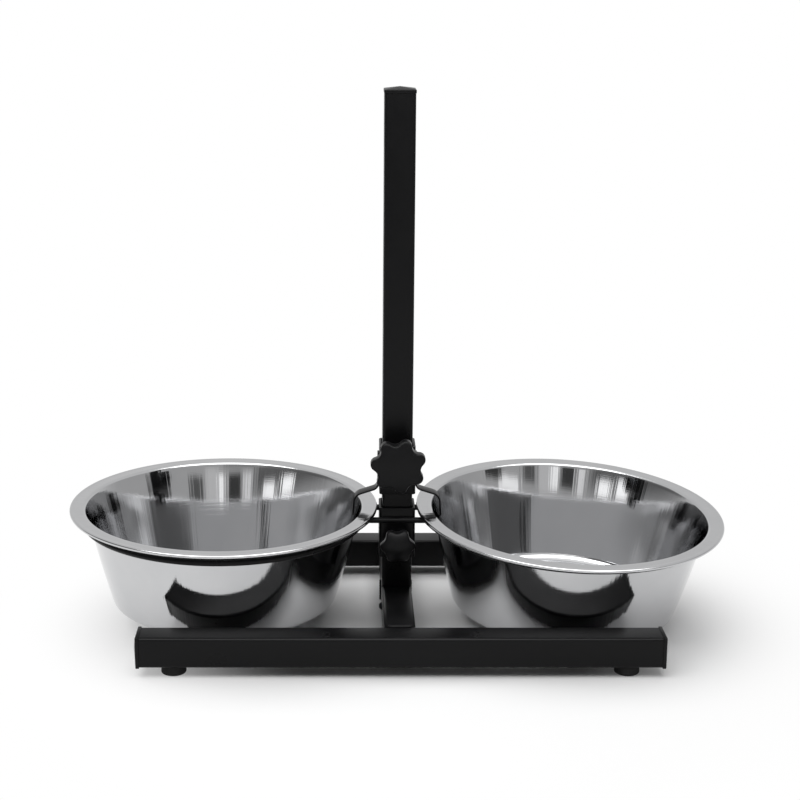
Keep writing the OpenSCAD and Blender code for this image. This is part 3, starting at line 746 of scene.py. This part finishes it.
def bowlOutline():
    # middle line of the sheet, from the middle of the floor out to the curl under the rim: the pressed wall
    # bulges a little over its lower part and flares again up to the rim, which sets where the room shows in it
    foot, waist, lip = (math.radians(bowl[key]) for key in ("foot", "waist", "lip"))
    r1, r2 = bowl["floorRound"], bowl["rimRound"]
    rise = bowl["height"] - bowl["sheet"] - r1 * (1 - math.cos(foot)) - r2 * (1 - math.cos(lip))
    belly = rise * bowl["waistShare"] / (math.cos(foot) - math.cos(waist))
    flare = rise * (1 - bowl["waistShare"]) / (math.cos(lip) - math.cos(waist))
    middle = (bowl["rim"] / 2 - bowl["beadSize"] / 2, bowl["beadProud"] - bowl["beadSize"] / 2)
    floor = (middle[0] - bowl["flat"] - r2 * math.sin(lip) - r1 * math.sin(foot)
             - belly * (math.sin(waist) - math.sin(foot)) - flare * (math.sin(waist) - math.sin(lip)))
    low = bowl["sheet"] / 2 - bowl["height"]
    points = [(floor * i / 14, low) for i in range(15)]
    heading = 0
    for angle, radius, steps in ((foot, r1, 12), (waist, belly, 14), (lip, flare, 14), (0, r2, 10)):
        turn = math.degrees(angle - heading)
        points += [tuple(p) for p in bends([(0, turn, radius)], points[-1], heading, steps)]
        heading = angle
    curl = bowl["beadSize"] / 2 - bowl["sheet"] / 2
    lead = middle[0] - bowl["beadLead"]  # the flat rises to the curl over this last stretch
    (r3, z3) = points[-1]
    points += [(r3 + (lead - r3) * i / 4, z3) for i in range(1, 5)]
    for i in range(19):
        a = math.radians(90 - bowl["curl"] * i / 18)
        points.append((middle[0] + curl * math.cos(a), middle[1] + curl * math.sin(a)))
    clean = points[:1]
    for p in points[1:]:
        if math.dist(p, clean[-1]) > tiny:
            clean.append(p)
    return clean


def makeBowls():
    first = turned("bowl", bowlOutline(), bowl["steps"])
    modify(first, "SOLIDIFY", thickness=bowl["sheet"], offset=0.0, use_even_offset=True)
    soften(first, bowl["edge"], 2, 60)
    along = first.data.attributes.new("along", "FLOAT", "POINT")
    around = first.data.attributes.new("around", "FLOAT_VECTOR", "POINT")
    for vertex, out, ring in zip(first.data.vertices, along.data, around.data):
        out.value = math.hypot(vertex.co.x, vertex.co.y) + vertex.co.z  # below 0 on most of the floor
        ring.vector = Vector((vertex.co.x, vertex.co.y, 0)).normalized() * bowl["rim"] / 2
    for end, name in ((-1, "left"), (1, "right")):
        piece = copyOf(first, name + "_steel_bowl")
        dress(setAt(piece, bowlPlace(end)), name + "_bowl", "polished_stainless", [name + "_bowl"], 40)
    bpy.data.objects.remove(first)


def makeHoops():
    # a wire ring, a little swollen where its ends were butt welded next to the cross rods
    for end, name in ((-1, "left"), (1, "right")):
        piece = startPiece(name + "_wire_hoop", bpy.ops.mesh.primitive_torus_add, major_radius=hoop["radius"],
                           minor_radius=hoop["wire"] / 2, major_segments=216, minor_segments=24)
        r, angle = hoop["radius"], hoop["knuckleAt"]
        joint = Vector((-end * r * math.cos(angle), r * math.sin(angle), 0))
        pick("VERT", lambda v: (v.co - joint).length < hoop["knuckleReach"])
        bpy.ops.transform.resize(value=(hoop["knuckle"],) * 3, center_override=joint)
        closeEdit()
        shift = 0 if end < 0 else seat["rightShift"]
        place = hoopPlace(end) @ Matrix.Translation((0, -shift, -hoop["drop"]))
        dress(setAt(piece, place), "carrier", "powder_coat", [name + "_hoop"], 60)


rod = {"wire": 5 * mm, "collar": 3.5 * mm, "collarLength": 3.2 * mm}


def makeRods():
    # a straight rod whose ends swell into the weld on each hoop
    r, c, swell = rod["wire"] / 2, rod["collar"], rod["collarLength"]
    half = [(0, 0), (c * 0.8, 0), (c, 0.25 * swell), (c * 0.97, 0.45 * swell), (c * 0.86, 0.7 * swell),
            (r * 1.06, swell), (r, 1.3 * swell)]
    for node in ("front_cross_rod", "rear_cross_rod"):
        low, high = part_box(node)
        length = high.x - low.x
        outline = half + [(out, length - z) for out, z in reversed(half)]
        piece = turned(node.replace("_cross_rod", "_carrier_rod"), outline, 36)
        dress(setAt(piece, alongX(node)), "carrier", "powder_coat", [node], 60)


makeBowls()
makeHoops()
makeRods()
print("bowls and hoops ready")


# Carrier and hook clamp

sleeve = {"width": 30 * mm, "wall": 2 * mm, "corner": 3 * mm, "edge": 0.45 * mm, "hole": 8.1 * mm}
weldNut = {"width": 13 * mm, "height": 6.5 * mm, "bore": 4.05 * mm}
stud = {"diameter": 8 * mm, "pitch": 1.25 * mm}
hook = {"width": 12 * mm, "thick": 1.5 * mm, "edge": 0.35 * mm, "corner": 2.5 * mm, "tab": 26 * mm, "turn": 72,
        "lean": 4, "r1": 6 * mm, "r2": 8 * mm, "tailX": 36 * mm, "reach": 9 * mm, "leave": 7 * mm}


def forwards(height, start):
    # a place on the clamp screw's axis, with +Z towards the front
    return Matrix.Translation((0, start, height)) @ Matrix.Rotation(math.pi / 2, 4, "X")


def makeSleeve(node, name, body, knobHeight):
    low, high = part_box(node)
    piece = squareTube(name, dict(sleeve, length=high.z - low.z),
                       {"diameter": sleeve["hole"], "height": knobHeight - low.z})
    dress(setAt(piece, Matrix.Translation((0, 0, low.z))), body, "powder_coat", [node])


def makeWeldNut(node, name, body):
    middle = boxMiddle(node)
    low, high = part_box(node)
    piece = hexNut(name, weldNut["width"], weldNut["height"], weldNut["bore"])
    dress(setAt(piece, forwards(middle.z, high.y)), body, "zinc_plate", [node], 25)


def makeStud(node, name):
    low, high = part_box(node)
    piece = threaded(name, stud["diameter"], high.y - low.y, stud["pitch"])
    dress(setAt(piece, forwards((low.z + high.z) / 2, high.y)), node, "zinc_plate", [node], 25)


def makeHooks(clampBottom, rimTop):
    # flat strip, bent out over the rim and down inside the bowl
    turn, lean = math.radians(hook["turn"]), math.radians(hook["lean"])
    startX = sleeve["width"] / 2 + hook["thick"] / 2
    bendsX = hook["r1"] * (1 - math.cos(turn)) + hook["r2"] * (math.cos(lean) - math.cos(turn))
    bendsZ = hook["r1"] * math.sin(turn) + hook["r2"] * (math.sin(turn) - math.sin(lean))
    run = (hook["tailX"] - startX - bendsX) / math.sin(turn)
    top = clampBottom + hook["leave"] + hook["tab"]
    tailTop = clampBottom + hook["leave"] - bendsZ - run * math.cos(turn)
    tail = (tailTop - rimTop + hook["reach"]) / math.cos(lean)
    moves = [(hook["tab"], hook["turn"], hook["r1"]), (run, hook["lean"] - hook["turn"], hook["r2"]),
             (tail, 0, 0)]
    path = bends(moves, (startX, top), -math.pi / 2, 12)
    for end, name in ((-1, "left"), (1, "right")):
        piece = startPiece(name + "_strip_hook", bpy.ops.mesh.primitive_plane_add, size=hook["width"])
        pick("VERT", lambda v: v.co.x > 0)
        bpy.ops.mesh.delete(type="VERT")
        bpy.ops.mesh.select_all(action="SELECT")
        bpy.ops.transform.translate(value=(end * path[0][0] + hook["width"] / 2, 0, path[0][1]))
        for a, b in zip(path, path[1:]):
            if (b - a).length > tiny:
                step = (end * (b[0] - a[0]), 0, b[1] - a[1])
                bpy.ops.mesh.extrude_region_move(TRANSFORM_OT_translate={"value": step})
        for z in (path[0][1], path[-1][1]):
            pick("VERT", lambda v: abs(v.co.z - z) < tiny)
            bpy.ops.mesh.bevel(offset=hook["corner"], segments=5, affect="VERTICES")
        closeEdit()
        modify(piece, "SOLIDIFY", thickness=hook["thick"], offset=0.0, use_even_offset=True)
        soften(piece, hook["edge"], 3, 50)
        dress(piece, "hook_clamp", "powder_coat", [name + "_hook"], 40)


smallKnob = {"tip": 14.5 * mm, "lobes": 6, "lobe": 4 * mm, "hollow": 2.6 * mm, "turn": 28, "thick": 12 * mm,
             "hub": 5 * mm, "dome": 21 * mm, "edge": 1.1 * mm}
bigKnob = {"tip": 23 * mm, "lobes": 7, "lobe": 5 * mm, "hollow": 4.8 * mm, "turn": 19, "thick": 13 * mm,
           "hub": 8 * mm, "dome": 70 * mm, "edge": 1.5 * mm}
hub = {"radius": 8 * mm, "flare": 1.6 * mm, "bore": 4.05 * mm, "hold": 7 * mm, "chamfer": 0.6 * mm}
pointsPerLobe = 24
faceRings = (0.9, 0.78, 0.64, 0.5, 0.36, 0.22, 0.1)  # shares of the star's outline


def starRadius(knob, angle):
    # distance out to the edge of a star at an angle from the middle of a lobe: lobe arcs with hollows between
    step = math.pi / knob["lobes"]
    lobeAt, valley = knob["tip"] - knob["lobe"], knob["tip"] - knob["hollow"]
    c = math.cos(step)
    dip = ((lobeAt ** 2 + valley ** 2 - 2 * c * lobeAt * valley - knob["lobe"] ** 2)
           / (2 * (knob["lobe"] + c * lobeAt - valley)))
    hollow = Vector((math.cos(step), math.sin(step))) * (valley + dip)
    lobe = Vector((lobeAt, 0))
    meet = lobe + (hollow - lobe).normalized() * knob["lobe"]
    ray = Vector((math.cos(angle), math.sin(angle)))
    if angle < math.atan2(meet.y, meet.x):
        centre, radius, way = lobe, knob["lobe"], 1
    else:
        centre, radius, way = hollow, dip, -1
    b = ray.dot(centre)
    return b + way * math.sqrt(max(b * b - centre.length_squared + radius * radius, 0))


def starKnob(name, knob):
    # a domed star on a turned hub, modelled with its back at the origin and its face along +Z
    count = knob["lobes"] * pointsPerLobe
    back = knob["hub"]
    top = back + knob["thick"]
    piece = startPiece(name, bpy.ops.mesh.primitive_circle_add, vertices=count, radius=knob["tip"],
                       fill_type="NGON")
    bpy.ops.transform.translate(value=(0, 0, back))
    for i in range(pointsPerLobe // 2 + 1):
        def atStep(v):
            step = round(math.atan2(v.co.x, v.co.y) / (2 * math.pi / count)) % pointsPerLobe
            return min(step, pointsPerLobe - step) == i
        pick("VERT", atStep)
        scale = starRadius(knob, 2 * math.pi * i / count) / knob["tip"]
        bpy.ops.transform.resize(value=(scale, scale, 1), center_override=(0, 0, back))
    bpy.ops.mesh.select_mode(type="FACE")
    bpy.ops.mesh.select_all(action="SELECT")
    bpy.ops.mesh.extrude_region_move(TRANSFORM_OT_translate={"value": (0, 0, knob["thick"])})
    share = 1.0
    for wanted in faceRings:
        bpy.ops.mesh.extrude_region_move()
        bpy.ops.transform.resize(value=(wanted / share, wanted / share, 1), center_override=(0, 0, top))
        share = wanted
    shape = bmesh.from_edit_mesh(piece.data)
    for v in shape.verts:  # the face is part of a ball, so the hollows cut into its dome
        if v.co.z > back + knob["thick"] / 2:
            fall = knob["dome"] - math.sqrt(knob["dome"] ** 2 - v.co.x ** 2 - v.co.y ** 2)
            v.co.z = top - fall
    bmesh.update_edit_mesh(piece.data)
    closeEdit()
    soften(piece, knob["edge"], 5, 45)
    r, bore, flare = hub["radius"], hub["bore"], hub["flare"]
    post = turned("hub", [(0, 0), (r - hub["chamfer"], 0), (r, hub["chamfer"]), (r, back - flare),
                          (r + 0.3 * flare, back - 0.4 * flare), (r + flare, back + 0.2 * mm),
                          (r + flare, back + 0.8 * mm), (0, back + 0.8 * mm)], 64)
    combine(piece, post, "UNION")
    drill = turned("drill", [(0, -mm), (bore, -mm), (bore, back + hub["hold"]), (0, back + hub["hold"])], 32)
    combine(piece, drill, "DIFFERENCE")
    return piece


def makeKnob(node, name, knob, height):
    low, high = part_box(node)
    piece = starKnob(name, knob)
    place = forwards(height, high.y) @ Matrix.Rotation(-math.radians(knob["turn"]), 4, "Z")
    dress(setAt(piece, place), node, "moulded_plastic", [node], 30)


carrierHeight, clampHeight = hingeAt["carrier_knob_turn"].z, hingeAt["hook_knob_turn"].z
makeSleeve("carrier_sleeve", "carrier_square_sleeve", "carrier", carrierHeight)
makeSleeve("hook_sleeve", "clamp_square_sleeve", "hook_clamp", clampHeight)
makeWeldNut("carrier_nut", "carrier_weld_nut", "carrier")
makeWeldNut("hook_nut", "clamp_weld_nut", "hook_clamp")
makeStud("carrier_stud", "carrier_threaded_stud")
makeStud("hook_stud", "clamp_threaded_stud")
makeHooks(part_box("hook_sleeve")[0].z, seat["rimZ"])
makeKnob("carrier_knob", "small_star_knob", smallKnob, carrierHeight)
makeKnob("hook_knob", "big_star_knob", bigKnob, clampHeight)
print("carrier and hook clamp ready")


# CAD pieces that stay as they are

kept = {"arm_stub": "powder_coat", "arm_nut": "zinc_plate", "foot_screws": "zinc_plate"}
for node, slot in kept.items():
    nodes[node].data.materials.clear()
    nodes[node].data.materials.append(finish[slot])
